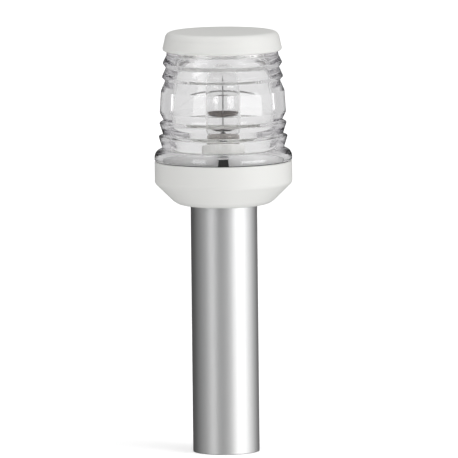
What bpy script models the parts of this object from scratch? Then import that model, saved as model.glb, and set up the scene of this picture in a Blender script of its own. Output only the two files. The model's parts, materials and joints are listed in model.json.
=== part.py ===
"""All-round navigation light on a round pole.

A white lamp base stands on an aluminium tube. A clear bell-shaped lens with prism rings lifts off the base
and covers a bayonet bulb, which sits in a sprung holder. +Z runs up the pole, the origin is the centre of the
pole's lower end, and the notch in the lens flange faces -Y.

Every size and height below is in millimetres. The helpers turn them into metres. Heights of the lamp's own
parts are measured from the underside of the lamp base, and a parent empty lifts them onto the pole.
"""

import math

import bmesh
import bpy
from mathutils import Matrix, Vector

MM = 0.001
GAP = 0.3  # air left between two neighbouring solids
LARGE, MEDIUM, SMALL, TINY = 48, 32, 24, 12  # faces round a turned piece, by its size

# Pole
POLE_RADIUS = 15.0
POLE_WALL = 1.5
POLE_EXPOSED = 112.0  # from the pole's foot to the underside of the lamp base
POLE_BORE = POLE_RADIUS - POLE_WALL

# Lamp base
BASE_RADIUS = 31.0
BASE_RIM = 19.8  # height of the rim that the lens flange stands over
SOCKET_ROOF = 9.4  # underside of the plate that the pole's top end stops against
HUB_RADIUS = 17.4
HUB_TOP = 12.0
DRILL_TOP = HUB_TOP + 5  # where the cutters for holes in the hub end, in open air
WELL_FLOOR = 5.1
WELL_RADIUS = 24.4
SPIGOT_RADIUS = 27.1
SPIGOT_TOP = 23.9
CABLE_HOLE = 5.5
REBATE_FLOOR = 18.4
REBATE_RADIUS = 29.6

# Lens: its roots and its prism tips each lie on a cone that narrows upwards
LENS_FOOT = 20.2
FLANGE_TOP = 25.4
ROOT_AT_FLANGE = 27.3
ROOT_TAPER = 0.05
TIP_AT_FLANGE = 29.3
TIP_TAPER = 0.064
BELT_FOOT, BELT_LOW, BELT_HIGH, BELT_TOP = 38.3, 41.9, 51.6, 56.3
LOWER_RINGS = ((30.9, 31.9), (37.0, BELT_FOOT))  # height of each tip and of the root above it
UPPER_RINGS = ((57.9, 62.1), (64.2, 67.7))
LENS_TOP = 72.0
SKIRT_BORE = 27.5
SKIRT_CEILING = 24.3
BARREL_BORE = 25.65
BARREL_TAPER = 0.0717
DOME_TOP = 70.4
DOME_FILLET = 5.0
NOTCH_TOP, NOTCH_BACK = 23.4, 28.3
NOTCH_HALF_FOOT, NOTCH_HALF_TOP = 2.75, 2.4
BELT_SWELL = 0.2  # how far the belt stands out past the cone of prism tips
RIB_ANGLES = (-60, 60, 180)  # degrees from the front

# Cap
CAP_FOOT = 69.5
CAP_RADIUS = 26.9
CAP_DOME = 0.35
CAP_TOP = 78.6

# Bulb and holder
BULB_RADIUS = 8.0
BULB_NECK = 6.6
BULB_TOP = 57.5
CAP_SHELL = 7.4
SHELL_FOOT, SHELL_TOP = 22.2, 37.3
PIN_HEIGHT, PIN_RADIUS, PIN_REACH = 28.7, 1.0, 8.45
SHIELD_FOOT, SHIELD_RADIUS, SHIELD_DEPTH, SHIELD_WALL = 39.9, 7.0, 2.0, 0.4
FILAMENT_FOOT, FILAMENT_TOP = 43.4, 51.2
SLEEVE_RADIUS, SLEEVE_BORE = 8.65, 7.75
SLEEVE_FOOT, SLEEVE_TOP = 19.1, 32.0
BULB_PUSH = 1.2  # travel of the bulb against its contact springs
BULB_TURN = 20.0  # degrees from locked to the open end of the bayonet slot
HOLDER_FOOT, HOLDER_FLOOR, HOLDER_TOP = HUB_TOP + GAP, 18.8, 32.4
HOLDER_RADIUS = 9.7
EAR_PLATE_RADIUS = 12.5
EAR_OFFSET = 13.8
EAR_THICKNESS = 2.0
EAR_RADIUS = 3.2
CONTACT_OFFSET = 3.2
CORE_FOOT = 7.3  # where the cores leave the cable

# Screws
SCREW_CIRCLE = 9.6
SHANK_RADIUS = 1.5
HOLE_RADIUS = SHANK_RADIUS + GAP
HEAD_RADIUS = 2.4
HEAD_SINK, SINK_RADIUS = 1.6, 2.8


def clear_scene():
    for obj in list(bpy.data.objects):
        bpy.data.objects.remove(obj)


def make_material(name, colour, roughness, metallic=0.0, transmission=0.0):
    material = bpy.data.materials.new(name)
    material.use_nodes = True
    shader = material.node_tree.nodes["Principled BSDF"]
    shader.inputs["Base Color"].default_value = (*colour, 1.0)
    shader.inputs["Roughness"].default_value = roughness
    shader.inputs["Metallic"].default_value = metallic
    shader.inputs["Transmission Weight"].default_value = transmission
    return material


def add_object(name, data, material, parent=None):
    """Links an object that holds data, with its material, under a parent empty."""
    obj = bpy.data.objects.new(name, data)
    bpy.context.scene.collection.objects.link(obj)
    if material is not None and not data.materials:
        data.materials.append(material)
    obj.parent = parent
    return obj


def make_empty(name, height=0.0, parent=None):
    """An empty on the pole's axis, at a height above its parent."""
    empty = bpy.data.objects.new(name, None)
    bpy.context.scene.collection.objects.link(empty)
    empty.parent = parent
    empty.location.z = height * MM
    return empty


def mesh_from(bm, name):
    """Closes off a bmesh: welded, facing out, smooth except at sharp edges."""
    bmesh.ops.remove_doubles(bm, verts=bm.verts, dist=1e-7)
    bmesh.ops.recalc_face_normals(bm, faces=bm.faces)
    mesh = bpy.data.meshes.new(name)
    bm.to_mesh(mesh)
    bm.free()
    mesh.shade_smooth()
    mesh.set_sharp_from_angle(angle=math.radians(30))
    return mesh


def lathe_mesh(name, outline, faces_round):
    """Spins (radius, height) points round Z. The outline closes itself unless both ends are on the axis."""
    bm = bmesh.new()
    verts = [bm.verts.new((radius * MM, 0.0, height * MM)) for radius, height in outline]
    edges = [bm.edges.new(pair) for pair in zip(verts, verts[1:])]
    if outline[0][0] > 0 or outline[-1][0] > 0:
        edges.append(bm.edges.new((verts[-1], verts[0])))
    bmesh.ops.spin(
        bm, geom=verts + edges, cent=(0, 0, 0), axis=(0, 0, 1), angle=2 * math.pi,
        steps=faces_round, use_merge=True,
    )
    return mesh_from(bm, name)


def lathe(name, outline, material, faces_round=LARGE, parent=None):
    return add_object(name, lathe_mesh(name, outline, faces_round), material, parent)


def arc(centre, radii, start, end, steps):
    """Points of an ellipse arc in the (radius, height) plane, from start to end degrees."""
    points = []
    for i in range(steps + 1):
        angle = math.radians(start + (end - start) * i / steps)
        across = centre[0] + radii[0] * math.cos(angle)
        points.append((round(across, 9), centre[1] + radii[1] * math.sin(angle)))
    return points


def prism(name, outline, low, high, parent=None):
    """Extrudes a flat outline of (x, y) points from one height to another."""
    bm = bmesh.new()
    face = bm.faces.new([bm.verts.new((x * MM, y * MM, low * MM)) for x, y in outline])
    lifted = bmesh.ops.extrude_face_region(bm, geom=[face])["geom"]
    rise = Vector((0, 0, (high - low) * MM))
    bmesh.ops.translate(bm, vec=rise, verts=[v for v in lifted if isinstance(v, bmesh.types.BMVert)])
    return add_object(name, mesh_from(bm, name), None, parent)


def circle(radius, steps, centre=(0.0, 0.0)):
    angles = [2 * math.pi * (i + 0.5) / steps for i in range(steps)]
    return [(centre[0] + radius * math.cos(a), centre[1] + radius * math.sin(a)) for a in angles]


def rectangle(half_x, half_y, centre=(0.0, 0.0)):
    x, y = centre
    corners = ((-1, -1), (1, -1), (1, 1), (-1, 1))
    return [(x + side_x * half_x, y + side_y * half_y) for side_x, side_y in corners]


def combine(target, operation, tool):
    """Cuts tool from target, or joins it on. The tool stays in the file as a hidden helper."""
    modifier = target.modifiers.new(tool.name, "BOOLEAN")
    modifier.operation = operation
    modifier.object = tool
    tool.hide_render = True
    tool.display_type = "WIRE"


def cut(target, tool):
    combine(target, "DIFFERENCE", tool)


def join(target, tool):
    combine(target, "UNION", tool)


def drill(target, name, outline, low, high, parent=None):
    """Cuts an upright hole of the given outline from one height to another."""
    cut(target, prism(f"{name}_cutter", outline, low, high, parent))


def wire(name, points, radius, material, parent=None, sides=2):
    """A round rod along a line of (x, y, z) points, with closed ends."""
    curve = bpy.data.curves.new(name, "CURVE")
    curve.dimensions = "3D"
    curve.bevel_depth = radius * MM
    curve.bevel_resolution = sides
    curve.use_fill_caps = True
    spline = curve.splines.new("POLY")
    spline.points.add(len(points) - 1)
    for spot, (x, y, z) in zip(spline.points, points):
        spot.co = (x * MM, y * MM, z * MM, 1.0)
    return add_object(name, curve, material, parent)


def helix(radius, start, end, turns, steps_per_turn):
    """Points of a coil round Z from one height to another."""
    count = turns * steps_per_turn
    points = []
    for i in range(count + 1):
        angle = 2 * math.pi * i / steps_per_turn
        height = start + (end - start) * i / count
        points.append((radius * math.cos(angle), radius * math.sin(angle), height))
    return points


def root_radius(height):
    return ROOT_AT_FLANGE - ROOT_TAPER * (height - FLANGE_TOP)


def tip_radius(height):
    return TIP_AT_FLANGE - TIP_TAPER * (height - FLANGE_TOP)


def barrel_bore(height):
    return BARREL_BORE - BARREL_TAPER * (height - SKIRT_CEILING)


def lens_outline():
    """The lens in section: down its inside from the dome, then up over the flange, prisms and belt."""
    blunt = 0.2  # flat left on each prism tip
    fillet_foot = DOME_TOP - DOME_FILLET
    centre = (barrel_bore(fillet_foot) - DOME_FILLET, fillet_foot)
    points = [(0, DOME_TOP)] + arc(centre, (DOME_FILLET, DOME_FILLET), 90, 0, 6)
    points += [(BARREL_BORE, SKIRT_CEILING), (SKIRT_BORE, SKIRT_CEILING), (SKIRT_BORE, LENS_FOOT)]
    points += [(BASE_RADIUS - GAP, LENS_FOOT), (BASE_RADIUS, LENS_FOOT + GAP)]
    shoulder = 21.8
    points += arc((ROOT_AT_FLANGE, shoulder), (BASE_RADIUS - ROOT_AT_FLANGE, FLANGE_TOP - shoulder), 0, 90, 6)
    for tip, root in LOWER_RINGS:
        points += [(tip_radius(tip), tip - blunt), (tip_radius(tip), tip + blunt), (root_radius(root), root)]
    points += [(tip_radius(z) + BELT_SWELL, z) for z in (BELT_LOW, BELT_HIGH)]
    points += [(root_radius(BELT_TOP), BELT_TOP)]
    for tip, root in UPPER_RINGS:
        points += [(tip_radius(tip), tip - blunt), (tip_radius(tip), tip + blunt), (root_radius(root), root)]
    return points + [(root_radius(LENS_TOP), LENS_TOP), (0, LENS_TOP)]


def build_lens(material, parent):
    lens = lathe("lens", lens_outline(), material, LARGE, parent)
    slope = (NOTCH_HALF_FOOT - NOTCH_HALF_TOP) / (NOTCH_TOP - LENS_FOOT)
    low = LENS_FOOT - 1
    half_low = NOTCH_HALF_FOOT + slope
    side = [(-half_low, low), (half_low, low), (NOTCH_HALF_TOP, NOTCH_TOP), (-NOTCH_HALF_TOP, NOTCH_TOP)]
    notch = prism("notch_cutter", side, NOTCH_BACK, BASE_RADIUS + 2, parent)
    notch.rotation_euler.x = math.radians(90)  # the outline's second axis becomes the height
    cut(lens, notch)
    for angle in RIB_ANGLES:
        join(lens, build_rib(f"rib_{angle:g}_helper", angle, parent))


def build_rib(name, angle, parent):
    """A thin upright rib that follows the lens's tapered bore, rooted in its wall."""
    half_width, proud, rooted = 0.4, 0.6, 0.8
    low, high = SKIRT_CEILING + 2.0, DOME_TOP - DOME_FILLET - 1.0
    side = [
        (barrel_bore(low) - proud, low), (barrel_bore(low) + rooted, low),
        (barrel_bore(high) + rooted, high), (barrel_bore(high) - proud, high),
    ]
    rib = prism(name, side, -half_width, half_width, parent)
    # Stand the outline upright in the plane of the axis, then swing it round from the front.
    rib.rotation_euler = (math.radians(90), 0, math.radians(angle - 90))
    return rib


def build_lens_cap(material, parent):
    shell_top = LENS_TOP + GAP
    bore = root_radius(CAP_FOOT) + GAP
    points = [(0, shell_top), (bore, shell_top), (bore, CAP_FOOT), (CAP_RADIUS - 1.1, CAP_FOOT)]
    points += arc((CAP_RADIUS - 1.1, CAP_FOOT + 1.3), (1.1, 1.3), -60, 0, 3)
    rim_top = CAP_TOP - CAP_DOME
    corner = CAP_RADIUS - 4.1
    points += arc((corner, rim_top - 3.2), (3.1, 3.2), 0, 90, 7)
    points += [(corner * (1 - i / 3), rim_top + CAP_DOME * (1 - (1 - i / 3) ** 2)) for i in range(1, 4)]
    return lathe("lens_cap", points, material, LARGE, parent)


def base_outline():
    """The lamp base in section: out along its underside, up its side, over the spigot and down to the hub."""
    points = [(POLE_RADIUS + GAP, 0.0), (18.2, 0.0)]
    points += [(20.7, 0.6), (22.9, 2.0), (30.4, 9.4)]
    points += arc((BASE_RADIUS - 1.6, 10.8), (1.6, 1.6), -30, 0, 3)
    points += [(BASE_RADIUS, BASE_RIM - GAP), (BASE_RADIUS - GAP, BASE_RIM), (REBATE_RADIUS, BASE_RIM)]
    points += [(REBATE_RADIUS, REBATE_FLOOR), (SPIGOT_RADIUS, REBATE_FLOOR)]
    points += [(SPIGOT_RADIUS, SPIGOT_TOP - GAP), (SPIGOT_RADIUS - GAP, SPIGOT_TOP)]
    well_slope = 4.9  # across and up, between the well's floor and its wall
    points += [(WELL_RADIUS, SPIGOT_TOP), (WELL_RADIUS, WELL_FLOOR + well_slope)]
    points += [(WELL_RADIUS - well_slope, WELL_FLOOR)]
    points += [(HUB_RADIUS, WELL_FLOOR), (HUB_RADIUS, HUB_TOP)]
    points += [(CABLE_HOLE, HUB_TOP), (CABLE_HOLE, SOCKET_ROOF), (POLE_RADIUS + GAP, SOCKET_ROOF)]
    return points


def screw_spots():
    """Centres of the three screws that hold the base down on the pole insert."""
    angles = [math.radians(120 * i) for i in range(3)]
    return [(SCREW_CIRCLE * math.cos(a), SCREW_CIRCLE * math.sin(a)) for a in angles]


def build_base(material, parent):
    base = lathe("lamp_base", base_outline(), material, LARGE, parent)
    for i, spot in enumerate(screw_spots(), 1):
        drill(base, f"base_hole_{i}", circle(HOLE_RADIUS, SMALL, spot), SOCKET_ROOF - 1, DRILL_TOP, parent)
        sink = circle(SINK_RADIUS, SMALL, spot)
        drill(base, f"base_sink_{i}", sink, HUB_TOP - HEAD_SINK, DRILL_TOP, parent)
    for i, y in enumerate((-EAR_OFFSET, EAR_OFFSET), 1):
        pilot = circle(HOLE_RADIUS, SMALL, (0, y))
        drill(base, f"ear_pilot_{i}", pilot, SOCKET_ROOF + 0.6, DRILL_TOP, parent)


def build_gasket(material, parent):
    """A flat rubber ring in the base's rebate, with a tongue that fills the notch in the lens flange."""
    low, high = REBATE_FLOOR + GAP, LENS_FOOT - GAP
    inner, outer = SPIGOT_RADIUS + GAP, REBATE_RADIUS - GAP
    ring = [(inner, low), (outer, low), (outer, high), (inner, high)]
    gasket = lathe("lens_gasket", ring, material, LARGE, parent)
    foot, crest, top = NOTCH_HALF_FOOT - GAP, NOTCH_HALF_TOP - GAP, NOTCH_TOP - GAP
    back, front = NOTCH_BACK + GAP, BASE_RADIUS - GAP
    seam = outer - 0.2  # the root, sunk in the ring, meets the face here
    root = [(-foot, low + 0.4), (foot, low + 0.4), (foot, high), (crest, top), (-crest, top), (-foot, high)]
    face = [(-foot, high + 0.1), (foot, high + 0.1), (crest, top), (-crest, top)]
    for name, side, inside, outside in (("root", root, back, seam), ("face", face, seam - 0.1, front)):
        tongue = prism(f"tongue_{name}_helper", side, inside, outside, parent)
        tongue.rotation_euler.x = math.radians(90)
        join(gasket, tongue)


def screw_mesh(name, length):
    """A pan-head screw with a cross recess. Its origin is under the head, and it points down."""
    head_height, tip = 1.3, 1.2
    outline = [(0, -length), (SHANK_RADIUS * 0.4, -length), (SHANK_RADIUS, tip - length), (SHANK_RADIUS, 0)]
    brim = 0.4
    outline += [(HEAD_RADIUS, 0), (HEAD_RADIUS, brim)]
    outline += arc((HEAD_RADIUS - 1.6, brim), (1.6, head_height - brim), 30, 90, 3)
    outline += [(0, head_height)]
    blank = lathe(f"{name}_blank", outline, None, TINY)
    for i, half in enumerate(((1.3, 0.3), (0.3, 1.3)), 1):
        cut(blank, prism(f"{name}_recess_{i}_cutter", rectangle(*half), 0.5, 2.0))
    bpy.context.view_layer.update()
    graph = bpy.context.evaluated_depsgraph_get()
    mesh = bpy.data.meshes.new_from_object(blank.evaluated_get(graph))
    for helper in [blank] + [modifier.object for modifier in blank.modifiers]:
        bpy.data.objects.remove(helper)
    mesh.name = name
    return mesh


def build_screws(material, parent):
    long_screw = screw_mesh("base_screw", 12.0)
    for i, (x, y) in enumerate(screw_spots(), 1):
        screw = add_object(f"base_screw_{i}", long_screw, material, parent)
        screw.location = (x * MM, y * MM, (HUB_TOP - HEAD_SINK + 0.2) * MM)
    short_screw = screw_mesh("holder_screw", 4.2)
    for name, y in (("holder_screw_front", -EAR_OFFSET), ("holder_screw_rear", EAR_OFFSET)):
        screw = add_object(name, short_screw, material, parent)
        screw.location = (0, y * MM, (HOLDER_FOOT + EAR_THICKNESS + GAP) * MM)


def build_pole(metal, nylon, rubber, sheath, parent):
    """The tube, the grommet in its foot, the plug in its top and the cable through all of them."""
    top = POLE_EXPOSED + SOCKET_ROOF - GAP
    edge = 0.2
    tube = [(POLE_BORE, 0), (POLE_RADIUS - edge, 0), (POLE_RADIUS, edge), (POLE_RADIUS, top - edge)]
    tube += [(POLE_RADIUS - edge, top), (POLE_BORE, top)]
    lathe("pole_tube", tube, metal)
    plug_radius = POLE_BORE - GAP
    cable_radius = 3.2
    grommet = [(cable_radius + GAP, 0.8), (plug_radius - 1, 0.8), (plug_radius, 1.8), (plug_radius, 7.0)]
    grommet += [(7.0, 7.0), (6.0, 11.0), (cable_radius + GAP, 11.0)]
    lathe("cable_grommet", grommet, rubber, MEDIUM)
    insert_foot, insert_top = -9.0, SOCKET_ROOF - GAP
    insert = [(4.0, insert_foot), (plug_radius - 1, insert_foot), (plug_radius, insert_foot + 1)]
    insert += [(plug_radius, insert_top), (4.0, insert_top)]
    plug = lathe("pole_insert", insert, nylon, MEDIUM, parent)
    for i, spot in enumerate(screw_spots(), 1):
        drill(plug, f"pilot_{i}", circle(HOLE_RADIUS, TINY, spot), -3, DRILL_TOP, parent)
    cable_foot, cable_top = 1.0 - POLE_EXPOSED, CORE_FOOT - GAP
    cable = [(0, cable_foot), (cable_radius, cable_foot), (cable_radius, cable_top), (0, cable_top)]
    lathe("supply_cable", cable, sheath, SMALL, parent)


def build_core(name, side, material, parent):
    """One insulated core, from the cable's end up to the underside of its contact plate."""
    split = 1.5  # half the distance between the two cores inside the cable
    rise = [(split, CORE_FOOT), (split, CORE_FOOT + 1.4)]
    rise += [(CONTACT_OFFSET, HOLDER_FOOT - 1.2), (CONTACT_OFFSET, HOLDER_FOOT)]
    wire(name, [(side * x, 0, z) for x, z in rise], 0.8, material, parent)


def build_holder(plastic, metal, parent):
    """The white holder tower with its two ears, and the slotted bayonet sleeve pressed into it."""
    ear_top = HOLDER_FOOT + EAR_THICKNESS
    outline = [(0, HOLDER_FOOT), (EAR_PLATE_RADIUS, HOLDER_FOOT), (EAR_PLATE_RADIUS, ear_top)]
    outline += [(HOLDER_RADIUS, ear_top), (HOLDER_RADIUS, HOLDER_TOP - GAP)]
    bore = SLEEVE_RADIUS + GAP
    outline += [(HOLDER_RADIUS - GAP, HOLDER_TOP), (bore, HOLDER_TOP)]
    outline += [(bore, HOLDER_FLOOR), (0, HOLDER_FLOOR)]
    body = lathe("holder_body", outline, plastic, MEDIUM, parent)
    plate = []
    for sign in (1, -1):
        plate += [(sign * x, sign * y) for x, y in arc((0, EAR_OFFSET), (EAR_RADIUS, EAR_RADIUS), 0, 180, 8)]
    join(body, prism("ear_plate_helper", plate, HOLDER_FOOT, ear_top, parent))
    for i, y in enumerate((-EAR_OFFSET, EAR_OFFSET), 1):
        drill(body, f"ear_hole_{i}", circle(HOLE_RADIUS, TINY, (0, y)), HOLDER_FOOT - 1, DRILL_TOP, parent)
    for i, x in enumerate((-CONTACT_OFFSET, CONTACT_OFFSET), 1):
        drill(body, f"spring_hole_{i}", circle(1.7, SMALL, (x, 0)), HOLDER_FOOT, HOLDER_FLOOR + 1, parent)
        drill(body, f"plate_seat_{i}", circle(2.6, SMALL, (x, 0)), HOLDER_FOOT - 1, HOLDER_FOOT + 1.4, parent)
    shell = [(SLEEVE_BORE, SLEEVE_FOOT), (SLEEVE_RADIUS, SLEEVE_FOOT), (SLEEVE_RADIUS, SLEEVE_TOP)]
    shell += [(SLEEVE_BORE, SLEEVE_TOP)]
    sleeve = lathe("holder_sleeve", shell, metal, LARGE, parent)
    half_slot = PIN_RADIUS + GAP
    run_low, run_high = PIN_HEIGHT - half_slot - BULB_PUSH, PIN_HEIGHT + half_slot
    mid_wall = (SLEEVE_BORE + SLEEVE_RADIUS) / 2
    half_run = mid_wall * math.sin(math.radians(BULB_TURN / 2)) + half_slot
    above = SLEEVE_TOP + 1
    cuts = (("run", half_run, BULB_TURN / 2, run_high), ("entry", half_slot, BULB_TURN, above))
    for i, locked in enumerate((-90, 90), 1):
        for kind, half, swing, top in cuts:
            slot = rectangle(2.0, half, (mid_wall, 0))
            tool = prism(f"{kind}_{i}_cutter", slot, run_low, top, parent)
            tool.rotation_euler.z = math.radians(locked + swing)
            cut(sleeve, tool)


def build_contacts(side, brass, steel, root_parent, push_parent):
    """On one side of the holder: the soldered plate, the spring on it and the plunger on the spring."""
    name = "left" if side < 0 else "right"
    x = side * CONTACT_OFFSET
    plate_low = HOLDER_FOOT + GAP
    plate_top = plate_low + 0.7
    plate = [(0, plate_low), (2.2, plate_low), (2.2, plate_top), (0, plate_top)]
    lathe(f"contact_plate_{name}", plate, brass, SMALL, root_parent).location.x = x * MM
    thick = 0.2
    plunger_foot = HOLDER_FLOOR - 1.5
    coil = helix(1.15, plate_top + GAP + thick, plunger_foot - GAP - thick, 4, 10)
    wire(f"contact_spring_{name}", coil, thick, steel, root_parent, 1).location.x = x * MM
    shoulder = HOLDER_FLOOR + 1.6
    plunger = [(0, plunger_foot), (1.1, plunger_foot), (1.3, plunger_foot + 0.3), (1.3, shoulder)]
    plunger += arc((0, shoulder), (1.3, 0.8), 0, 90, 4)[1:]
    lathe(f"contact_plunger_{name}", plunger, brass, SMALL, push_parent).location.x = x * MM


def build_bulb(glass, metal, ceramic, solder, shield, tungsten, parent):
    """A tubular bulb in a two-pin bayonet cap, with two bottom contacts and an upright filament."""
    shell = [(CAP_SHELL - 0.7, SHELL_FOOT), (CAP_SHELL - 0.2, SHELL_FOOT), (CAP_SHELL, SHELL_FOOT + 0.3)]
    shell += [(CAP_SHELL, SHELL_TOP - 0.4), (CAP_SHELL - 0.2, SHELL_TOP), (CAP_SHELL - 0.5, SHELL_TOP)]
    cap = lathe("bulb_cap", shell, metal, MEDIUM, parent)
    pin_side = circle(PIN_RADIUS, TINY, (0, PIN_HEIGHT))
    for i, turn in enumerate((0, math.pi), 1):
        pin = prism(f"pin_{i}_helper", pin_side, CAP_SHELL - 0.3, PIN_REACH, parent)
        # Stood up, the circle lies in x and height, and the pin points to the front or the rear.
        pin.rotation_euler = (math.radians(90), 0, turn)
        join(cap, pin)
    disc_foot, disc_top = SHELL_FOOT + 0.2, SHELL_FOOT + 2.6
    disc = [(0, disc_foot), (6.0, disc_foot), (6.3, disc_foot + 0.3), (6.3, disc_top), (0, disc_top)]
    lathe("bulb_insulator", disc, ceramic, SMALL, parent)
    for side, name in ((-1, "left"), (1, "right")):
        blob_top, blob_foot = SHELL_FOOT - 0.1, SHELL_FOOT - 0.3
        blob = [(0, blob_top), (1.8, blob_top)] + arc((0, blob_foot), (1.8, 0.4), 0, -90, 4)
        lathe(f"bulb_contact_{name}", blob, solder, SMALL, parent).location.x = side * CONTACT_OFFSET * MM
    wall = 0.6
    straight = BULB_TOP - BULB_RADIUS
    neck_foot, neck_top, tube_foot = SHELL_TOP - 3.2, SHELL_TOP + 0.3, SHELL_TOP + 2.8
    tube = arc((0, straight), (BULB_RADIUS - wall, BULB_RADIUS - wall), 90, 0, 8)
    tube += [(BULB_RADIUS - wall, tube_foot + 0.2), (BULB_RADIUS - 0.5 - wall, neck_top + 1.2)]
    tube += [(BULB_NECK - wall, neck_top + 0.2), (BULB_NECK - wall, neck_foot), (BULB_NECK, neck_foot)]
    tube += [(BULB_NECK, neck_top), (BULB_RADIUS - 0.5, neck_top + 1.0), (BULB_RADIUS, tube_foot)]
    tube += arc((0, straight), (BULB_RADIUS, BULB_RADIUS), 0, 90, 8)
    lathe("bulb_glass", tube, glass, MEDIUM, parent)
    build_mount(glass, shield, tungsten, parent)


def build_mount(glass, shield, tungsten, parent):
    """What stands inside the bulb: stem, dished heat shield, two lead wires and the upright filament."""
    stem_top = SHIELD_FOOT - 0.8
    stem = [(0, stem_top - 9.0), (4.4, stem_top - 9.0), (3.8, stem_top - 7.2), (2.5, stem_top - 4.6)]
    stem += [(1.7, stem_top - 2.8), (1.5, stem_top - 0.9)] + arc((0, stem_top - 0.9), (1.5, 0.9), 30, 90, 3)
    lathe("bulb_stem", stem, glass, SMALL, parent)
    floor, rim = SHIELD_FOOT + SHIELD_WALL, SHIELD_FOOT + SHIELD_DEPTH
    flat = SHIELD_RADIUS - 2.2
    dish = [(0, SHIELD_FOOT), (flat, SHIELD_FOOT), (SHIELD_RADIUS, rim - SHIELD_WALL), (SHIELD_RADIUS, rim)]
    dish += [(SHIELD_RADIUS - SHIELD_WALL, rim), (flat - 0.1, floor), (0, floor)]
    disc = lathe("heat_shield", dish, shield, MEDIUM, parent)
    wire_radius, offset = 0.18, 2.4
    for i, y in enumerate((0, offset), 1):
        hole = circle(wire_radius + GAP, TINY, (0, y))
        cut(disc, prism(f"shield_hole_{i}_cutter", hole, SHIELD_FOOT - 1, rim + 1, parent))
    strand = 0.1  # radius of the filament's own wire
    short = [(0, 0, stem_top + GAP), (0, 0, FILAMENT_FOOT - strand - GAP)]
    wire("lead_wire_short", short, wire_radius, tungsten, parent, 1)
    bend, hook = FILAMENT_TOP + 0.2, FILAMENT_TOP + 0.8
    long = [(0, offset, stem_top - 2.0), (0, offset, bend), (0, offset - 0.6, hook), (0, -0.4, hook)]
    wire("lead_wire_long", long, wire_radius, tungsten, parent, 1)
    wire("filament", helix(0.35, FILAMENT_FOOT, FILAMENT_TOP, 20, 8), strand, tungsten, parent, 0)


def main():
    clear_scene()
    white = make_material("white_plastic", (0.86, 0.86, 0.85), 0.42)
    clear = make_material("clear_polycarbonate", (0.96, 0.97, 0.98), 0.04, transmission=1.0)
    anodised = make_material("anodised_aluminium", (0.74, 0.75, 0.77), 0.34, 1.0)
    black = make_material("black_rubber", (0.02, 0.02, 0.02), 0.75)
    nylon = make_material("grey_nylon", (0.55, 0.56, 0.57), 0.55)
    steel = make_material("stainless_steel", (0.66, 0.66, 0.65), 0.28, 1.0)
    nickel = make_material("nickel_plate", (0.72, 0.69, 0.64), 0.25, 1.0)
    brass = make_material("brass", (0.80, 0.62, 0.32), 0.3, 1.0)
    glass = make_material("bulb_glass", (0.98, 0.98, 0.98), 0.02, transmission=1.0)
    ceramic = make_material("black_glass", (0.03, 0.03, 0.035), 0.3)
    solder = make_material("solder", (0.62, 0.62, 0.64), 0.4, 1.0)
    tungsten = make_material("tungsten_wire", (0.25, 0.24, 0.23), 0.45, 1.0)
    shield = make_material("dark_steel", (0.16, 0.14, 0.13), 0.4, 1.0)
    sheath = make_material("cable_sheath", (0.05, 0.05, 0.055), 0.6)
    brown = make_material("brown_core", (0.23, 0.10, 0.04), 0.5)
    blue = make_material("blue_core", (0.04, 0.12, 0.38), 0.5)

    lamp = make_empty("lamp_frame", POLE_EXPOSED)
    lens_frame = make_empty("lens_lift_axis", 0.0, lamp)
    push_frame = make_empty("bulb_push_axis", 0.0, lamp)
    bulb_frame = make_empty("bulb_turn_axis", 0.0, push_frame)

    build_pole(anodised, nylon, black, sheath, lamp)
    build_core("core_brown", -1, brown, lamp)
    build_core("core_blue", 1, blue, lamp)
    build_base(white, lamp)
    build_screws(steel, lamp)
    build_gasket(black, lamp)
    build_holder(white, nickel, lamp)
    for side in (-1, 1):
        build_contacts(side, brass, steel, lamp, push_frame)
    build_bulb(glass, nickel, ceramic, solder, shield, tungsten, bulb_frame)
    build_lens(clear, lens_frame)
    build_lens_cap(white, lens_frame)


main()
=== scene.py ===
import json
import math

import bmesh
import bpy
from mathutils import Matrix, Vector

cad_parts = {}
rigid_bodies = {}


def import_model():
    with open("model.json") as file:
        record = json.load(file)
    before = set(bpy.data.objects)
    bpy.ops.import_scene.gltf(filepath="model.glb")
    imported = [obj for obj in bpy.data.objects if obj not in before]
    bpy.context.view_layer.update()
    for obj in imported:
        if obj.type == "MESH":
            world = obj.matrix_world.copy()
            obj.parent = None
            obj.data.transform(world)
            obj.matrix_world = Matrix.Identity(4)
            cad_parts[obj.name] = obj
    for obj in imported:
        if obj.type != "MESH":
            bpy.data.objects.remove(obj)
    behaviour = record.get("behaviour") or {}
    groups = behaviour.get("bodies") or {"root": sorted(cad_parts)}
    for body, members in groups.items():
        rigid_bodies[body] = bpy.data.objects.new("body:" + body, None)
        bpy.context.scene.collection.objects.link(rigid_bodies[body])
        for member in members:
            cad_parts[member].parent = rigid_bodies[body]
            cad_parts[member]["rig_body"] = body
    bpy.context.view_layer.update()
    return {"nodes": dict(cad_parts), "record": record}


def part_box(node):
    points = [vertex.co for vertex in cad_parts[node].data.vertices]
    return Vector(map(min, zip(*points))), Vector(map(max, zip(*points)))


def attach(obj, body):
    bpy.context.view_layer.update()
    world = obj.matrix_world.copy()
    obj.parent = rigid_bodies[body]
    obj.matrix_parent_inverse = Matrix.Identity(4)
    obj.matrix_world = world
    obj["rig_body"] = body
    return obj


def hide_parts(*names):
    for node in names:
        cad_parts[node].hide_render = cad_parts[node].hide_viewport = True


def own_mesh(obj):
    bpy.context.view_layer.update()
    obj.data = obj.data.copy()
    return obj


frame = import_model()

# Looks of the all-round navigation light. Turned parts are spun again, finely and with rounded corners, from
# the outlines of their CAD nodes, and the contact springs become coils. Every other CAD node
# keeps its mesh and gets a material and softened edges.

MM = 0.001
WELD = 2e-6  # two vertices closer than this are one
SEAM_WELD = 1e-7  # the same where a spun outline meets the axis
FINE = 192  # faces round a turned piece
CORNER_STEPS = 4  # sides of the arc that rounds a corner
SMOOTH_BELOW = 50  # degrees between two faces that are still shaded as one surface

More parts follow.
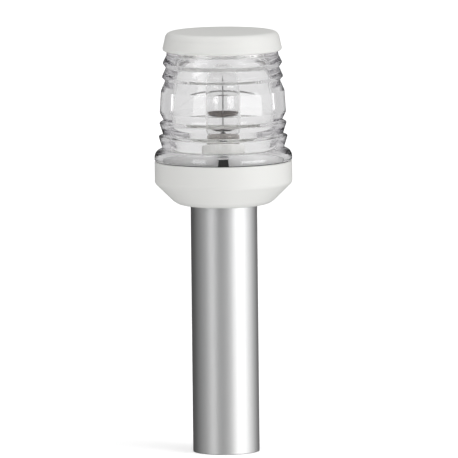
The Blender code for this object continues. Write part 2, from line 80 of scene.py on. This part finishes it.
# Camera, set to the photograph's view
ELEVATION = 6.3
ROLL = -0.6
LENS_MM = 1000.0
SENSOR_MM = 36.0
VIEW_WIDTH = 206.4 * MM
AIM = Vector((2.2 * MM, 0.0, 100.7 * MM))

# Studio, by direction: stops are (degrees from the camera, positive to its right, brightness)
GLOSSY_STOPS = (
    (-180, 0.03), (-150, 0.04), (-115, 0.09), (-90, 0.31), (-62, 0.37), (-36, 0.13), (-12, 0.34),
    (0, 0.34), (12, 0.56), (26, 0.70), (65, 0.70), (92, 1.05), (114, 0.42), (140, 0.06), (180, 0.03),
)
THROUGH_SIDE = ((0, 0.45), (22, 0.70), (60, 0.70), (120, 0.68), (145, 0.68), (155, 0.86), (180, 0.86))
THROUGH_STOPS = tuple((-degrees, level) for degrees, level in reversed(THROUGH_SIDE[1:])) + THROUGH_SIDE
SOFTBOXES = ((32, 76, 0.20, 3.2), (-55, -32, 0.62, 2.3))  # left and right side, top, brightness
BOX_FOOT = -0.015  # the foot and the top of a softbox are given as the sine of their elevation
LOW_BOX_SPAN = (-0.20, -0.04)  # foot and top of their lower half, which only shows through the lens
BOX_SIDE_FADE = 0.04  # radians over which a softbox fades out at its sides
BOX_END_FADE = 0.02  # the same at its foot and top, as a sine
SOFT_FILL = 0.45  # even soft light on matt surfaces, from all round the horizon
SOFT_SHARE = 0.4  # part of each softbox's brightness that is added to it on the box's side
OVERHEAD = 1.5  # soft light from straight above, against the same at the horizon
UNDERFOOT = 2.3  # the same from straight below
INSIDE_GAIN = 1.5  # lifts the light on matt parts under the lens, which loses much on its way in
INSIDE_OVERHEAD = 1.6  # lifts it further on faces that look up
INSIDE_UNDERFOOT = 4.5  # the same for faces that look down, such as the underside of the cap

FLOOR_RADIUS = 6.0
FLOOR_GAP = 0.05 * MM  # air between the floor and the foot of the tube
FLOOR_GLOW = 0.35
CLEAR_BOUNCES = 24  # enough for a ray to find its way through the prism rings
SOFT_BOUNCES = 6

LENS_LOSS = (8.6, 9.0, 8.3)  # red, green and blue light lost per metre of lens; leaves it faintly violet

# Painted shade on the base's plastic: a grey ring in the narrow gap between spigot and lens skirt, where
# shade falls
GAP_SHADE_GREY = 0.52
GAP_SHADE_MARGIN = 0.6 * MM  # how far the painted shade reaches inside the gasket
GAP_SHADE_FADE = 0.3 * MM
GAP_SHADE_DEPTH = 0.5 * MM  # how far it reaches below the gasket

# Corner radii of the turned parts
LENS_CORNER = 0.35 * MM
BASE_CORNER = 0.5 * MM
TURNED = {"lens_cap": 0.4 * MM, "pole_tube": 0.15 * MM, "bulb_glass": 0.3 * MM, "bulb_stem": 0.4 * MM}

# Softened edges of the CAD nodes that stay
EDGE_WIDTH = 0.15 * MM
EDGE_SHARE = 0.03  # of the node's smallest side, where that is less
EDGE_SEGMENTS = 2
EDGE_ANGLE = 40

# Lamp base
BASE_CUT = 30.0  # direction of the base's outline, in degrees, clear of its screw holes
SHANK_HOLE = 1.8 * MM
HEAD_HOLE = 2.8 * MM
HEAD_SINK = 1.5 * MM  # the wider hole starts this far below the top of the screw's head
DRILL_SIDES = 48
DRILL_OVERRUN = 5 * MM

# Details of the lens that its outline does not hold
NOTCH_SPREAD = 0.3 * MM  # air between the gasket's tongue and the notch
NOTCH_FLARE = 1.15  # how much wider the notch is at its foot
TONGUE_DEPTH = 2.5 * MM  # the tongue reaches no further back than this
TONGUE_CREST = 0.1 * MM  # points of the tongue this close to its top are its crest
NOTCH_OUTSIDE = 2 * MM  # how far the notch's cutter stands out in front of the lens
NOTCH_BELOW = 1 * MM  # and below it
RIB_ANGLES = (-60, 60, 180)  # degrees from the front
RIB_WIDTH = 0.8 * MM
RIB_PROUD = 0.6 * MM
RIB_ROOT = 0.8 * MM
RIB_ABOVE_FOOT = 2 * MM  # from the foot of the bore to the foot of a rib
RIB_BELOW_TOP = 1 * MM
UPRIGHT = 4  # a side that rises at least this many times its run counts as the bore

# Contact springs
SPRING_WIRE = 0.2 * MM  # radius of the wire
SPRING_SIDES = 12  # faces round the wire
SPRING_TURNS = 4
SPRING_STEPS = 48  # rings of faces to a turn

SLOT_OF = {part["node"]: part["material_slot"] for part in frame["record"]["subparts"]}


# ---------------------------------------------------------------- outlines and turned pieces

def outline_of(node, azimuth):
    """The (radius, height) outline of a turned CAD node where the half-plane at azimuth cuts it, in order."""
    bm = bmesh.new()
    bm.from_mesh(frame["nodes"][node].data)
    bmesh.ops.remove_doubles(bm, verts=bm.verts, dist=WELD)
    bm.transform(Matrix.Rotation(-math.radians(azimuth), 4, "Z"))
    near = 2 * WELD
    in_plane = {v for v in bm.verts if abs(v.co.y) < near and v.co.x > -near}
    links = {v: [] for v in in_plane}
    for edge in bm.edges:
        a, b = edge.verts
        if a in in_plane and b in in_plane:
            links[a].append(b)
            links[b].append(a)
    ends = [v for v in in_plane if len(links[v]) == 1]
    here = min(ends or in_plane, key=lambda v: (v.co.z, v.co.x))
    walked = []
    while here is not None:
        walked.append(here)
        here = next((v for v in links[here] if v not in walked), None)
    points = [(max(0.0, v.co.x), v.co.z) for v in walked]
    bm.free()
    if not ends:
        return points, True
    if points[0][0] > near:
        points.insert(0, (0.0, points[0][1]))
    if points[-1][0] > near:
        points.append((0.0, points[-1][1]))
    return points, False


def rounded(points, closed, radius):
    """The outline with an arc in place of each corner. An arc takes at most 0.4 of a side it touches."""
    count = len(points)
    result = []
    for i, (r, z) in enumerate(points):
        if not closed and i in (0, count - 1):
            result.append((r, z))
            continue
        corner = Vector((r, z))
        back = Vector(points[i - 1]) - corner
        ahead = Vector(points[(i + 1) % count]) - corner
        reach = min(radius, 0.4 * back.length, 0.4 * ahead.length)
        start = corner + back.normalized() * reach
        end = corner + ahead.normalized() * reach
        for step in range(CORNER_STEPS + 1):
            t = step / CORNER_STEPS
            point = start * (1 - t) ** 2 + corner * 2 * t * (1 - t) + end * t ** 2
            result.append((point.x, point.y))
    return result


def new_piece(name, mesh, node, material):
    """A piece that stands for a CAD node, rides on its body and takes the given material."""
    piece = bpy.data.objects.new(name, mesh)
    bpy.context.scene.collection.objects.link(piece)
    mesh.materials.clear()
    mesh.materials.append(material)
    mesh.shade_smooth()
    mesh.set_sharp_from_angle(angle=math.radians(SMOOTH_BELOW))
    flats = piece.modifiers.new("flat_sides", "WEIGHTED_NORMAL")
    flats.keep_sharp = True
    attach(piece, frame["nodes"][node]["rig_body"])
    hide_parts(node)
    return piece


def turned_mesh(name, node, radius, azimuth=0.0):
    """The node's outline at azimuth, its corners rounded to radius, spun round the upright axis."""
    points, closed = outline_of(node, azimuth)
    points = rounded(points, closed, radius)
    bm = bmesh.new()
    verts = [bm.verts.new((r, 0.0, z)) for r, z in points]
    edges = [bm.edges.new(pair) for pair in zip(verts, verts[1:])]
    if closed:
        edges.append(bm.edges.new((verts[-1], verts[0])))
    bmesh.ops.spin(
        bm, geom=verts + edges, cent=(0, 0, 0), axis=(0, 0, 1), angle=2 * math.pi, steps=FINE, use_merge=True
    )
    bmesh.ops.remove_doubles(bm, verts=bm.verts, dist=SEAM_WELD)
    bmesh.ops.recalc_face_normals(bm, faces=bm.faces)
    mesh = bpy.data.meshes.new(name)
    bm.to_mesh(mesh)
    bm.free()
    return mesh


def block(name, corners):
    """A closed solid from 8 corners: four round one end and the matching four round the other."""
    mesh = bpy.data.meshes.new(name)
    sides = [(i, (i + 1) % 4, (i + 1) % 4 + 4, i + 4) for i in range(4)]
    mesh.from_pydata(corners, [], [(3, 2, 1, 0), (4, 5, 6, 7)] + sides)
    tool = bpy.data.objects.new(name, mesh)
    bpy.context.scene.collection.objects.link(tool)
    return tool


def apply_boolean(mesh, tool, operation):
    """The mesh after a Boolean with the tool, which is then removed."""
    holder = bpy.data.objects.new("boolean_holder", mesh)
    bpy.context.scene.collection.objects.link(holder)
    modifier = holder.modifiers.new("boolean", "BOOLEAN")
    modifier.operation = operation
    modifier.object = tool
    bpy.context.view_layer.update()
    result = bpy.data.meshes.new_from_object(holder.evaluated_get(bpy.context.evaluated_depsgraph_get()))
    bpy.data.objects.remove(holder)
    bpy.data.objects.remove(tool)
    return result


# ---------------------------------------------------------------- materials

class Nodes:
    """A short way to lay out a material's node tree."""

    def __init__(self, tree):
        self.tree = tree

    def add(self, kind, links=None, **settings):
        node = self.tree.nodes.new(kind)
        for key, value in settings.items():
            setattr(node, key, value)
        for socket, value in (links or {}).items():
            if isinstance(value, bpy.types.NodeSocket):
                self.tree.links.new(value, node.inputs[socket])
            else:
                node.inputs[socket].default_value = value
        return node

    def noise(self, coords, scale, detail=4.0, stretch=(1, 1, 1)):
        """Noise of the object's own coordinates, in waves per metre."""
        links = {0: coords, 1: Vector(stretch) * scale}
        spread = self.add("ShaderNodeVectorMath", links, operation="MULTIPLY").outputs[0]
        return self.add("ShaderNodeTexNoise", {"Vector": spread, "Scale": 1.0, "Detail": detail}).outputs[0]

    def span(self, value, low, high):
        """Value, which runs from 0 to 1, spread between low and high."""
        return self.add("ShaderNodeMapRange", {"Value": value, "To Min": low, "To Max": high}).outputs[0]

    def blend(self, factor, a, b):
        mix = self.add("ShaderNodeMix", {0: factor, 6: a, 7: b}, data_type="RGBA")
        return mix.outputs[2]

    def within(self, value, low, high, edge):
        """1 where value lies between low and high, fading to 0 over edge on either side."""
        offset = self.add("ShaderNodeMath", {0: value, 1: (low + high) / 2}, operation="SUBTRACT").outputs[0]
        size = self.add("ShaderNodeMath", {0: offset}, operation="ABSOLUTE").outputs[0]
        half = (high - low) / 2
        fade = {"Value": size, "From Min": half, "From Max": half + edge, "To Min": 1.0, "To Max": 0.0}
        return self.add("ShaderNodeMapRange", fade).outputs[0]

    def bump(self, height, strength, distance):
        links = {"Height": height, "Strength": strength, "Distance": distance}
        return self.add("ShaderNodeBump", links).outputs[0]


def start_material(name):
    """A new material, its node tree, its Principled BSDF and the object's own coordinates."""
    material = bpy.data.materials.new(name)
    material.use_nodes = True
    nodes = Nodes(material.node_tree)
    shader = material.node_tree.nodes["Principled BSDF"]
    coords = nodes.add("ShaderNodeTexCoord").outputs["Object"]
    return material, nodes, shader, coords


def wire_up(nodes, shader, **inputs):
    """Links or sets the shader's inputs, named with _ for a space."""
    for key, value in inputs.items():
        socket = shader.inputs[key.replace("_", " ")]
        if isinstance(value, bpy.types.NodeSocket):
            nodes.tree.links.new(value, socket)
        else:
            socket.default_value = value


def grey(level, tint=(1.0, 1.0, 1.0)):
    return (level * tint[0], level * tint[1], level * tint[2], 1.0)


def moulded_plastic(name, colour, roughness, grain=0.35, mottle=0.03, shine=0.5):
    """Injection-moulded plastic: faint cloudiness, a fine spark-eroded grain and patchy gloss."""
    material, nodes, shader, coords = start_material(name)
    clouds = nodes.noise(coords, 60.0, 3.0)
    dusk = tuple(c * (1 - mottle) for c in colour[:3]) + (1.0,)
    fine = nodes.noise(coords, 2600.0, 2.0)
    sink = nodes.noise(coords, 140.0, 2.0)
    heights = nodes.add("ShaderNodeMath", {0: fine, 1: sink}, operation="ADD").outputs[0]
    wire_up(
        nodes, shader,
        Base_Color=nodes.blend(clouds, dusk, colour),
        Roughness=nodes.span(nodes.noise(coords, 420.0, 5.0), roughness - 0.07, roughness + 0.07),
        Normal=nodes.bump(heights, grain, 0.03 * MM),
        Specular_IOR_Level=shine,
        IOR=1.49,
    )
    return material


def gap_shaded_plastic(name, colour, roughness):
    """Moulded plastic with painted shade: a grey ring in the narrow seat between spigot and rim, where the
    lens skirt shades it.
    """
    material = moulded_plastic(name, colour, roughness)
    nodes = Nodes(material.node_tree)
    shader = material.node_tree.nodes["Principled BSDF"]
    gasket = [v.co for v in frame["nodes"]["lens_gasket"].data.vertices]
    inner = min(co.xy.length for co in gasket)
    outer = max(co.y for co in gasket)  # the tongue points the other way, to -Y
    split = nodes.add("ShaderNodeSeparateXYZ", {0: nodes.add("ShaderNodeTexCoord").outputs["Object"]})
    across = nodes.add("ShaderNodeCombineXYZ", {0: split.outputs["X"], 1: split.outputs["Y"]}).outputs[0]
    radius = nodes.add("ShaderNodeVectorMath", {0: across}, operation="LENGTH").outputs["Value"]
    ring = nodes.within(radius, inner - GAP_SHADE_MARGIN, outer, GAP_SHADE_FADE)
    links = {0: split.outputs["Z"], 1: min(co.z for co in gasket) - GAP_SHADE_DEPTH}
    high = nodes.add("ShaderNodeMath", links, operation="GREATER_THAN").outputs[0]
    painted_shade = nodes.add("ShaderNodeMath", {0: ring, 1: high}, operation="MULTIPLY").outputs[0]
    unshaded = shader.inputs["Base Color"].links[0].from_socket
    # painted shade: the seat ring is made grey to stand for the shade under the lens skirt
    wire_up(nodes, shader, Base_Color=nodes.blend(painted_shade, unshaded, grey(GAP_SHADE_GREY)))
    return material


def clear_plastic(name, tint, ior, haze, ripple, loss=None):
    """Clear moulding with faint flow ripples and fine scratches. Loss: light lost per metre, by colour."""
    material, nodes, shader, coords = start_material(name)
    flow = nodes.noise(coords, 90.0, 2.0, (1, 1, 0.35))
    scratch = nodes.noise(coords, 1500.0, 3.0, (1, 1, 0.1))
    wire_up(
        nodes, shader,
        Base_Color=tint,
        Roughness=nodes.span(scratch, haze * 0.5, haze * 1.5),
        Normal=nodes.bump(flow, ripple, 0.05 * MM),
        Transmission_Weight=1.0,
        IOR=ior,
    )
    if loss:
        strongest = max(loss)
        kept = tuple(1 - part / strongest for part in loss) + (1.0,)
        smoke = nodes.add("ShaderNodeVolumeAbsorption", {"Color": kept, "Density": strongest})
        nodes.tree.links.new(smoke.outputs[0], material.node_tree.nodes["Material Output"].inputs["Volume"])
    return material


def metal(name, colour, roughness, grain, stretch, brush):
    """Metal with drawn or brushed grain, long where stretch is small, and slightly duller patches."""
    material, nodes, shader, coords = start_material(name)
    lines = nodes.noise(coords, grain, 3.0, stretch)
    patches = nodes.noise(coords, 110.0, 4.0)
    dull = tuple(c * 0.88 for c in colour[:3]) + (1.0,)
    wire_up(
        nodes, shader,
        Base_Color=nodes.blend(nodes.span(patches, 0.0, 0.6), colour, dull),
        Metallic=1.0,
        Roughness=nodes.span(lines, roughness - 0.05, roughness + 0.05),
        Normal=nodes.bump(lines, brush, 0.02 * MM),
    )
    return material


def rubber(name, level):
    """Matt rubber: dusty, finely pitted."""
    material, nodes, shader, coords = start_material(name)
    pits = nodes.noise(coords, 1800.0, 4.0)
    dust = nodes.noise(coords, 240.0, 5.0)
    wire_up(
        nodes, shader,
        Base_Color=nodes.blend(nodes.span(dust, 0.0, 0.5), grey(level), grey(level * 2.5)),
        Roughness=nodes.span(pits, 0.6, 0.85),
        Normal=nodes.bump(pits, 0.5, 0.04 * MM),
    )
    return material


def anodised_tube(name):
    """Satin anodised tube: etched matt skin with faint die lines along the tube."""
    material, nodes, shader, coords = start_material(name)
    etched = nodes.noise(coords, 1900.0, 4.0)
    die = nodes.noise(coords, 700.0, 3.0, (1, 1, 0.006))
    heights = nodes.add("ShaderNodeMath", {0: etched, 1: die}, operation="ADD").outputs[0]
    patches = nodes.noise(coords, 45.0, 4.0, (1, 1, 0.3))
    wire_up(
        nodes, shader,
        Base_Color=nodes.blend(patches, grey(0.80, (0.99, 1.0, 1.01)), grey(0.86, (1.0, 1.0, 0.99))),
        Metallic=1.0,
        Roughness=nodes.span(die, 0.34, 0.44),
        Normal=nodes.bump(heights, 0.25, 0.02 * MM),
    )
    return material


WHITE = grey(0.84, (1.0, 1.0, 0.975))

MATERIALS = {
    "white_plastic": moulded_plastic("white_moulding", WHITE, 0.42),
    "clear_polycarbonate": clear_plastic("lens_polycarbonate", grey(0.99), 1.585, 0.03, 0.12, LENS_LOSS),
    "anodised_aluminium": anodised_tube("anodised_tube"),
    "black_rubber": rubber("black_rubber", 0.012),
    "grey_nylon": moulded_plastic("grey_nylon", grey(0.42), 0.55, 0.6, 0.12),
    "stainless_steel": metal("stainless_steel", grey(0.62), 0.24, 1600.0, (1, 1, 0.2), 0.3),
    "nickel_plate": metal("nickel_plate", grey(0.48, (1.05, 1.0, 0.95)), 0.13, 900.0, (1, 1, 0.08), 0.15),
    "brass": metal("brass", (0.80, 0.60, 0.28, 1.0), 0.28, 1500.0, (1, 0.3, 1), 0.3),
    "bulb_glass": clear_plastic("blown_glass", grey(0.995), 1.5, 0.0, 0.2),
    "black_glass": moulded_plastic("black_glass", grey(0.02), 0.2, 0.1, 0.3),
    "solder": metal("solder", grey(0.55), 0.42, 500.0, (1, 1, 1), 0.5),
    "tungsten_wire": metal("tungsten_wire", grey(0.55), 0.4, 2500.0, (1, 1, 0.1), 0.4),
    "dark_steel": moulded_plastic("dark_steel", grey(0.14, (1.25, 1.0, 0.85)), 0.6, 0.5, 0.4, 0.2),
    "cable_sheath": rubber("cable_sheath", 0.03),
    "brown_core": moulded_plastic("brown_core", (0.16, 0.06, 0.025, 1.0), 0.4, 0.5, 0.2),
    "blue_core": moulded_plastic("blue_core", (0.02, 0.09, 0.34, 1.0), 0.4, 0.5, 0.2),
}

# ---------------------------------------------------------------- the object

def cut_screw_holes(mesh):
    """Counterbored holes in the lamp base, one round each base screw."""
    for node in ("base_screw_1", "base_screw_2", "base_screw_3"):
        low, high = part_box(node)
        centre = (low + high) / 2
        for radius, foot in ((SHANK_HOLE, low.z), (HEAD_HOLE, high.z - HEAD_SINK)):
            bm = bmesh.new()
            depth = high.z + DRILL_OVERRUN - foot
            at = Matrix.Translation((centre.x, centre.y, foot + depth / 2))
            size = {"radius1": radius, "radius2": radius, "depth": depth}
            bmesh.ops.create_cone(bm, cap_ends=True, segments=DRILL_SIDES, matrix=at, **size)
            drill_mesh = bpy.data.meshes.new("drill")
            bm.to_mesh(drill_mesh)
            bm.free()
            drill = bpy.data.objects.new("drill", drill_mesh)
            bpy.context.scene.collection.objects.link(drill)
            mesh = apply_boolean(mesh, drill, "DIFFERENCE")
    return mesh


def build_base():
    """The lamp base, turned again and drilled, with painted shade in its seat under the gasket."""
    mesh = turned_mesh("lamp_base_turned", "lamp_base", BASE_CORNER, BASE_CUT)
    # this material paints shade as a grey ring in the seat
    plastic = gap_shaded_plastic("base_moulding_painted_shade", WHITE, 0.42)
    return new_piece("lamp_base_turned", cut_screw_holes(mesh), "lamp_base", plastic)


def inner_wall(points):
    """Lowest and highest points of the lens's tapered bore: its longest side that stands near upright."""
    upright = []
    for a, b in zip(points, points[1:]):
        rise = abs(b[1] - a[1])
        if rise > UPRIGHT * abs(b[0] - a[0]):
            upright.append((rise, sorted((a, b), key=lambda p: p[1])))
    return max(upright)[1]


def build_rib(angle, low, high):
    """A guide rib on the lens's bore, which leans as the bore does."""
    slope = (high[0] - low[0]) / (high[1] - low[1])
    corners = []
    for z in (low[1] + RIB_ABOVE_FOOT, high[1] - RIB_BELOW_TOP):
        bore = low[0] + slope * (z - low[1])
        inner, outer = bore - RIB_PROUD, bore + RIB_ROOT
        for r, side in ((inner, -1), (outer, -1), (outer, 1), (inner, 1)):
            corners.append(Vector((r, side * RIB_WIDTH / 2, z)))
    turn = Matrix.Rotation(math.radians(angle - 90), 3, "Z")
    return block("rib_tool", [turn @ corner for corner in corners])


def build_notch():
    """The cutter for the notch in the lens flange, a little wider than the gasket's tongue."""
    lens_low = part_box("lens")[0]
    gasket = [v.co for v in frame["nodes"]["lens_gasket"].data.vertices]
    front = min(co.y for co in gasket)
    tongue = [co for co in gasket if co.y < front + TONGUE_DEPTH]
    top = max(co.z for co in tongue)
    crest = [co for co in tongue if co.z > top - TONGUE_CREST]
    half = max(co.x for co in crest) + NOTCH_SPREAD
    back = max(co.y for co in crest) + NOTCH_SPREAD
    outside = lens_low.y - NOTCH_OUTSIDE
    corners = []
    for z, width in ((lens_low.z - NOTCH_BELOW, half * NOTCH_FLARE), (top + NOTCH_SPREAD, half)):
        for x, y in ((-width, outside), (width, outside), (width, back), (-width, back)):
            corners.append(Vector((x, y, z)))
    return block("notch_tool", corners)


def build_lens():
    """The lens, turned again, with the notch for the gasket's tongue and its guide ribs."""
    mesh = turned_mesh("lens_turned", "lens", LENS_CORNER)
    mesh = apply_boolean(mesh, build_notch(), "DIFFERENCE")
    low, high = inner_wall(outline_of("lens", 0.0)[0])
    for angle in RIB_ANGLES:
        mesh = apply_boolean(mesh, build_rib(angle, low, high), "UNION")
    return new_piece("lens_turned", mesh, "lens", MATERIALS["clear_polycarbonate"])


def coil_mesh(name, low, high):
    """A round wire wound round an upright axis and capped at its ends, filling the box from low to high."""
    steps = SPRING_TURNS * SPRING_STEPS
    middle = (low + high) / 2
    radius = (high.x - low.x) / 2 - SPRING_WIRE
    foot, climb = low.z + SPRING_WIRE, high.z - low.z - 2 * SPRING_WIRE
    bm = bmesh.new()
    rings = []
    for i in range(steps + 1):
        angle = 2 * math.pi * SPRING_TURNS * i / steps
        out = Vector((math.cos(angle), math.sin(angle), 0.0))
        spot = Vector((middle.x, middle.y, foot + climb * i / steps)) + out * radius
        ring = []
        for side in range(SPRING_SIDES):
            turn = 2 * math.pi * side / SPRING_SIDES
            offset = out * math.cos(turn) + Vector((0.0, 0.0, math.sin(turn)))
            ring.append(bm.verts.new(spot + offset * SPRING_WIRE))
        rings.append(ring)
    for a, b in zip(rings, rings[1:]):
        for k in range(SPRING_SIDES):
            after = (k + 1) % SPRING_SIDES
            bm.faces.new((a[k], a[after], b[after], b[k]))
    bm.faces.new(rings[0])
    bm.faces.new(rings[-1])
    bmesh.ops.recalc_face_normals(bm, faces=bm.faces)
    mesh = bpy.data.meshes.new(name)
    bm.to_mesh(mesh)
    bm.free()
    return mesh


def build_springs():
    """The contact springs, on which the bulb is pushed down, as coils that fill their nodes' boxes."""
    for joint in frame["record"]["behaviour"]["joints"]:
        for spring in joint.get("deforming_nodes", []):
            node = spring["node"]
            name = f"{node}_coil"
            low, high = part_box(node)
            piece = new_piece(name, coil_mesh(name, low, high), node, MATERIALS[SLOT_OF[node]])
            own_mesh(piece)


def build_turned_parts():
    """The turned parts that need nothing but a finer spin and rounded corners."""
    for node, radius in TURNED.items():
        name = f"{node}_turned"
        new_piece(name, turned_mesh(name, node, radius), node, MATERIALS[SLOT_OF[node]])


def finish_cad_nodes():
    """Materials and softened edges for the CAD nodes that stay."""
    for name, node in frame["nodes"].items():
        if node.hide_render:
            continue
        node.data.materials.clear()
        node.data.materials.append(MATERIALS[SLOT_OF[name]])
        weld = node.modifiers.new("weld", "WELD")
        weld.merge_threshold = WELD
        low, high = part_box(name)
        bevel = node.modifiers.new("soft_edges", "BEVEL")
        bevel.width = min(EDGE_WIDTH, EDGE_SHARE * min(high - low))
        bevel.segments = EDGE_SEGMENTS
        bevel.limit_method = "ANGLE"
        bevel.angle_limit = math.radians(EDGE_ANGLE)


# ---------------------------------------------------------------- studio

def azimuth_ramp(nodes, azimuth, stops):
    """Brightness round the horizon, smoothly from stop to stop."""
    ramp = nodes.add("ShaderNodeValToRGB", {"Fac": azimuth})
    elements = ramp.color_ramp.elements
    ramp.color_ramp.interpolation = "B_SPLINE"
    while len(elements) < len(stops):
        elements.new(0.5)
    for element, (degrees, level) in zip(elements, stops):
        element.position = (degrees + 180) / 360
        element.color = (level, level, level, 1.0)
    return ramp.outputs["Color"]


def lit(nodes, colour, beside, upright):
    """The colour with a softbox added, which is the product of its two masks."""
    box = nodes.add("ShaderNodeMath", {0: beside, 1: upright}, operation="MULTIPLY").outputs[0]
    return nodes.add("ShaderNodeVectorMath", {0: colour, 1: box}, operation="ADD").outputs[0]


def tilted(nodes, colour, rise, below, above):
    """The colour, unchanged at the horizon and scaled towards below or above by the elevation's sine."""
    for far, gain in ((-1.0, below), (1.0, above)):
        links = {"Value": rise, "From Min": 0.0, "From Max": far, "To Min": 1.0, "To Max": gain}
        factor = nodes.add("ShaderNodeMapRange", links).outputs[0]
        colour = nodes.add("ShaderNodeVectorMath", {0: colour, 1: factor}, operation="MULTIPLY").outputs[0]
    return colour


def angle_from_camera(nodes, split):
    """The direction's angle round the horizon in radians: 0 at the camera's side, positive to its right."""
    away = nodes.add("ShaderNodeMath", {0: split.outputs["Y"], 1: -1.0}, operation="MULTIPLY").outputs[0]
    return nodes.add("ShaderNodeMath", {0: split.outputs["X"], 1: away}, operation="ARCTAN2").outputs[0]


def under_lens(nodes, through, soft, rise, path):
    """The view through the lens, or a lifted soft light where a matt part under the lens asks for it."""
    depth = {0: path["Diffuse Depth"], 1: 0.5}
    scattered = nodes.add("ShaderNodeMath", depth, operation="GREATER_THAN").outputs[0]
    inside = nodes.add("ShaderNodeVectorMath", {0: soft, "Scale": INSIDE_GAIN}, operation="SCALE").outputs[0]
    inside = tilted(nodes, inside, rise, INSIDE_UNDERFOOT, INSIDE_OVERHEAD)
    return nodes.blend(scattered, through, inside)


def build_world():
    """A white studio seen three ways: in reflections, as soft light on matt surfaces and through the lens."""
    world = bpy.data.worlds.new("studio")
    bpy.context.scene.world = world
    world.use_nodes = True
    nodes = Nodes(world.node_tree)
    world.node_tree.nodes.clear()
    direction = nodes.add("ShaderNodeTexCoord").outputs["Generated"]
    split = nodes.add("ShaderNodeSeparateXYZ", {0: direction})
    rise = split.outputs["Z"]
    angle = angle_from_camera(nodes, split)
    whole = {"Value": angle, "From Min": -math.pi, "From Max": math.pi}
    turn = nodes.add("ShaderNodeMapRange", whole).outputs[0]
    glossy = azimuth_ramp(nodes, turn, GLOSSY_STOPS)
    soft = (SOFT_FILL,) * 3
    through = azimuth_ramp(nodes, turn, THROUGH_STOPS)
    for left, right, top, level in SOFTBOXES:
        beside = nodes.within(angle, math.radians(left), math.radians(right), BOX_SIDE_FADE)
        beside = nodes.add("ShaderNodeMath", {0: beside, 1: level}, operation="MULTIPLY").outputs[0]
        soft = lit(nodes, soft, beside, SOFT_SHARE)
        glossy = lit(nodes, glossy, beside, nodes.within(rise, BOX_FOOT, top, BOX_END_FADE))
        through = lit(nodes, through, beside, nodes.within(rise, *LOW_BOX_SPAN, BOX_END_FADE))
    soft = tilted(nodes, soft, rise, UNDERFOOT, OVERHEAD)
    path = nodes.add("ShaderNodeLightPath").outputs
    through = under_lens(nodes, through, soft, rise, path)
    colour = nodes.blend(path["Is Glossy Ray"], soft, glossy)
    colour = nodes.blend(path["Is Transmission Ray"], colour, through)
    colour = nodes.blend(path["Is Camera Ray"], colour, grey(1.0))
    background = nodes.add("ShaderNodeBackground", {"Color": colour, "Strength": 1.0})
    nodes.add("ShaderNodeOutputWorld", {"Surface": background.outputs[0]})


def build_floor():
    """A pale matt floor with a faint mottle. It keeps out of reflections and the view through the lens."""
    mesh = bpy.data.meshes.new("floor")
    bm = bmesh.new()
    bmesh.ops.create_circle(bm, cap_ends=True, segments=96, radius=FLOOR_RADIUS)
    bm.to_mesh(mesh)
    bm.free()
    floor = bpy.data.objects.new("floor", mesh)
    bpy.context.scene.collection.objects.link(floor)
    material, nodes, shader, coords = start_material("pale_floor")
    mottle = nodes.noise(coords, 30.0, 3.0)
    wire_up(
        nodes, shader,
        Base_Color=nodes.blend(mottle, grey(0.90), grey(0.94)),
        Roughness=0.9,
        Specular_IOR_Level=0.1,
        Emission_Color=grey(1.0),
        Emission_Strength=FLOOR_GLOW,
    )
    mesh.materials.append(material)
    floor.location.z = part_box("pole_tube")[0].z - FLOOR_GAP
    floor.visible_diffuse = False
    floor.visible_glossy = False
    floor.visible_transmission = False


def build_camera():
    """A long lens from the front, a little above the horizon, as in the photograph."""
    camera_data = bpy.data.cameras.new("camera")
    camera_data.lens = LENS_MM
    camera_data.sensor_width = SENSOR_MM
    camera = bpy.data.objects.new("camera", camera_data)
    bpy.context.scene.collection.objects.link(camera)
    distance = VIEW_WIDTH * LENS_MM / SENSOR_MM
    tilt = math.radians(ELEVATION)
    camera.location = AIM + Vector((0, -math.cos(tilt), math.sin(tilt))) * distance
    look = Matrix.Rotation(math.radians(90) - tilt, 4, "X")
    camera.rotation_euler = (look @ Matrix.Rotation(math.radians(ROLL), 4, "Z")).to_euler()
    bpy.context.scene.camera = camera


def build_view():
    """Plain tones, and enough bounces for light to pass through the lens."""
    scene = bpy.context.scene
    scene.view_settings.view_transform = "Standard"
    scene.cycles.max_bounces = CLEAR_BOUNCES
    scene.cycles.transmission_bounces = CLEAR_BOUNCES
    scene.cycles.glossy_bounces = CLEAR_BOUNCES
    scene.cycles.diffuse_bounces = SOFT_BOUNCES


build_lens()
build_base()
build_turned_parts()
build_springs()
finish_cad_nodes()
build_world()
build_floor()
build_camera()
build_view()
